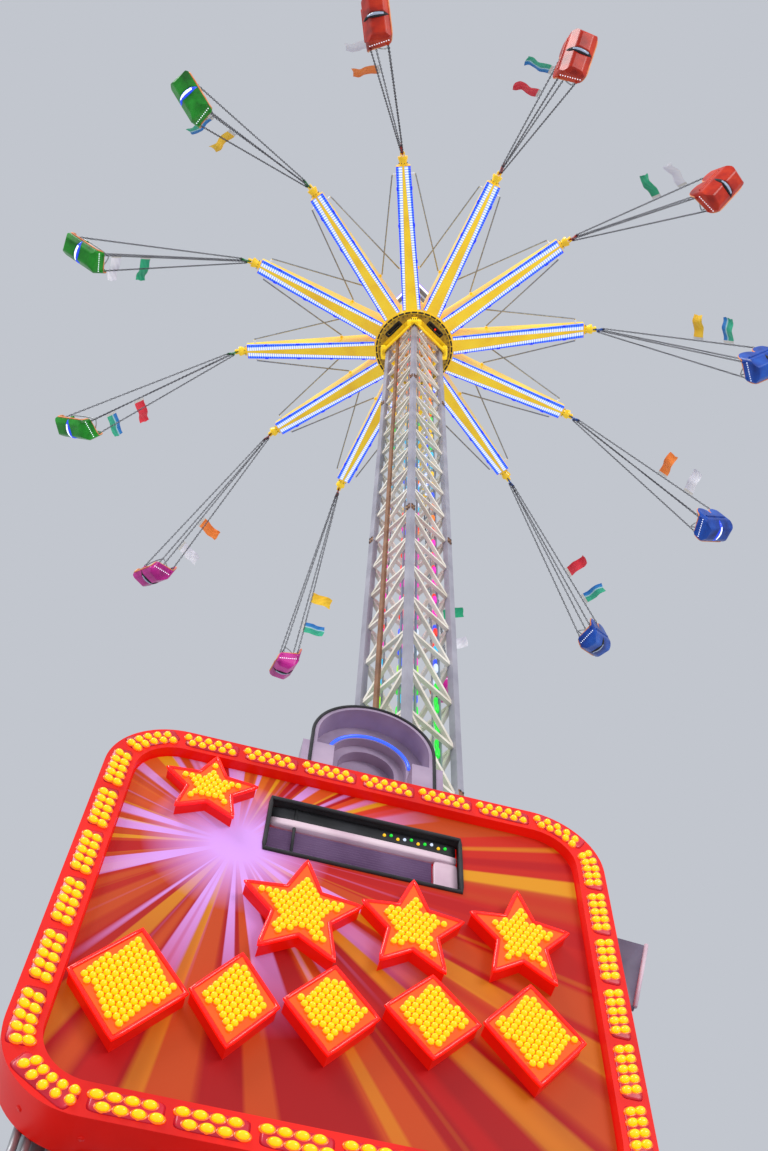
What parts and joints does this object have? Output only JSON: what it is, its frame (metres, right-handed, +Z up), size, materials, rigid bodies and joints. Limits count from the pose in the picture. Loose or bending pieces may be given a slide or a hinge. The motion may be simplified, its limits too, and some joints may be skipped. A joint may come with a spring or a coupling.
{
  "type": "chair swing ride on a lattice tower, scale model",
  "caption": "Scale model of a tower swing ride: a star of lit arms climbs a lattice tower and carries two-seat tubs on chains; a lit sign stands at the gate.",
  "frame": {"origin": "on the ground, on the tower's axis", "axes": "+Z up along the tower, -Y towards the visitor at the gate, +X to the visitor's right"},
  "size_m": [2.0364, 2.0364, 4.3624],
  "materials": {
    "column_steel": "satin light grey paint",
    "brace_steel": "satin cream paint",
    "yellow_steel": "gloss yellow paint",
    "base_steel": "grey primer and paint",
    "deck_plate": "treaded plate",
    "fence_steel": "gloss yellow paint",
    "riser": "matt brown paint",
    "dark_steel": "oiled dark steel",
    "bright_steel": "galvanised",
    "rope": "stranded wire",
    "sign_face": "gloss red printed panel",
    "sign_lit": "lit amber plastic",
    "arch_paint": "satin grey paint",
    "tub_red": "glass-fibre gel coat",
    "tub_blue": "glass-fibre gel coat",
    "tub_magenta": "glass-fibre gel coat",
    "tub_green": "glass-fibre gel coat",
    "chain": "dark galvanised chain",
    "roller_tyre": "polyurethane tread",
    "pad_rubber": "rubber on steel"
  },
  "bodies": {
    "root": {"base_plinth": "base_steel", "outriggers": "base_steel", "base_pads": "pad_rubber", "hoist_winch": "dark_steel", "tower_columns": "column_steel", "tower_bracing_ne": "brace_steel", "tower_bracing_nw": "brace_steel", "tower_bracing_sw": "brace_steel", "tower_bracing_se": "brace_steel", "tower_conduits": "bright_steel", "riser_pipe": "riser", "tower_head": "column_steel", "head_sheaves": "dark_steel", "hoist_ropes": "rope", "deck_panels": "deck_plate", "deck_joists": "base_steel", "deck_fence": "fence_steel", "deck_steps": "deck_plate", "sign_board": "sign_face", "sign_star": "sign_lit", "sign_shapes": "sign_lit", "sign_frame": "base_steel", "sign_arch": "arch_paint", "gate_posts": "bright_steel", "gate_beam": "base_steel"},
    "carriage": {"carriage_frame": "yellow_steel", "carriage_rollers": "roller_tyre", "slew_plate": "yellow_steel"},
    "star": {"slew_ring": "yellow_steel", "arms": "yellow_steel", "arm_end_caps": "yellow_steel", "stay_rods": "bright_steel"},
    "chair_01": {"tub_01": "tub_red", "hanger_01": "chain"},
    "chair_02": {"tub_02": "tub_red", "hanger_02": "chain"},
    "chair_03": {"tub_03": "tub_red", "hanger_03": "chain"},
    "chair_04": {"tub_04": "tub_blue", "hanger_04": "chain"},
    "chair_05": {"tub_05": "tub_blue", "hanger_05": "chain"},
    "chair_06": {"tub_06": "tub_blue", "hanger_06": "chain"},
    "chair_07": {"tub_07": "tub_magenta", "hanger_07": "chain"},
    "chair_08": {"tub_08": "tub_magenta", "hanger_08": "chain"},
    "chair_09": {"tub_09": "tub_magenta", "hanger_09": "chain"},
    "chair_10": {"tub_10": "tub_green", "hanger_10": "chain"},
    "chair_11": {"tub_11": "tub_green", "hanger_11": "chain"},
    "chair_12": {"tub_12": "tub_green", "hanger_12": "chain"}
  },
  "joints": [
    {"name": "hoist", "type": "slide", "parent": "root", "child": "carriage", "axis": [0, 0, 1], "range_m": [-3.19, 0]},
    {"name": "spin", "type": "hinge", "parent": "carriage", "child": "star", "pos_m": [0, 0, 3.9], "axis": [0, 0, 1], "continuous": true},
    {"name": "swing_01", "type": "hinge", "parent": "star", "child": "chair_01", "pos_m": [-0.04125, -0.56851, 3.984], "axis": [-0.9884, 0.1521, 0], "range_deg": [-35.5, 0]},
    {"name": "swing_02", "type": "hinge", "parent": "star", "child": "chair_02", "pos_m": [0.24853, -0.51297, 3.984], "axis": [-0.932, -0.3624, 0], "range_deg": [-35.5, 0]},
    {"name": "swing_03", "type": "hinge", "parent": "star", "child": "chair_03", "pos_m": [0.47171, -0.31998, 3.984], "axis": [-0.6259, -0.7799, 0], "range_deg": [-35.5, 0]},
    {"name": "swing_04", "type": "hinge", "parent": "star", "child": "chair_04", "pos_m": [0.56851, -0.04125, 3.984], "axis": [-0.1521, -0.9884, 0], "range_deg": [-35.5, 0]},
    {"name": "swing_05", "type": "hinge", "parent": "star", "child": "chair_05", "pos_m": [0.51297, 0.24853, 3.984], "axis": [0.3624, -0.932, 0], "range_deg": [-35.5, 0]},
    {"name": "swing_06", "type": "hinge", "parent": "star", "child": "chair_06", "pos_m": [0.31998, 0.47171, 3.984], "axis": [0.7799, -0.6259, 0], "range_deg": [-35.5, 0]},
    {"name": "swing_07", "type": "hinge", "parent": "star", "child": "chair_07", "pos_m": [0.04125, 0.56851, 3.984], "axis": [0.9884, -0.1521, 0], "range_deg": [-35.5, 0]},
    {"name": "swing_08", "type": "hinge", "parent": "star", "child": "chair_08", "pos_m": [-0.24853, 0.51297, 3.984], "axis": [0.932, 0.3624, 0], "range_deg": [-35.5, 0]},
    {"name": "swing_09", "type": "hinge", "parent": "star", "child": "chair_09", "pos_m": [-0.47171, 0.31998, 3.984], "axis": [0.6259, 0.7799, 0], "range_deg": [-35.5, 0]},
    {"name": "swing_10", "type": "hinge", "parent": "star", "child": "chair_10", "pos_m": [-0.56851, 0.04125, 3.984], "axis": [0.1521, 0.9884, 0], "range_deg": [-35.5, 0]},
    {"name": "swing_11", "type": "hinge", "parent": "star", "child": "chair_11", "pos_m": [-0.51297, -0.24853, 3.984], "axis": [-0.3624, 0.932, 0], "range_deg": [-35.5, 0]},
    {"name": "swing_12", "type": "hinge", "parent": "star", "child": "chair_12", "pos_m": [-0.31998, -0.47171, 3.984], "axis": [-0.7799, 0.6259, 0], "range_deg": [-35.5, 0]}
  ],
  "couplings": [
    {"joint": "swing_01", "follows": "hoist", "rad_per_m": 0.1942},
    {"joint": "swing_02", "follows": "hoist", "rad_per_m": 0.1942},
    {"joint": "swing_03", "follows": "hoist", "rad_per_m": 0.1942},
    {"joint": "swing_04", "follows": "hoist", "rad_per_m": 0.1942},
    {"joint": "swing_05", "follows": "hoist", "rad_per_m": 0.1942},
    {"joint": "swing_06", "follows": "hoist", "rad_per_m": 0.1942},
    {"joint": "swing_07", "follows": "hoist", "rad_per_m": 0.1942},
    {"joint": "swing_08", "follows": "hoist", "rad_per_m": 0.1942},
    {"joint": "swing_09", "follows": "hoist", "rad_per_m": 0.1942},
    {"joint": "swing_10", "follows": "hoist", "rad_per_m": 0.1942},
    {"joint": "swing_11", "follows": "hoist", "rad_per_m": 0.1942},
    {"joint": "swing_12", "follows": "hoist", "rad_per_m": 0.1942}
  ]
}
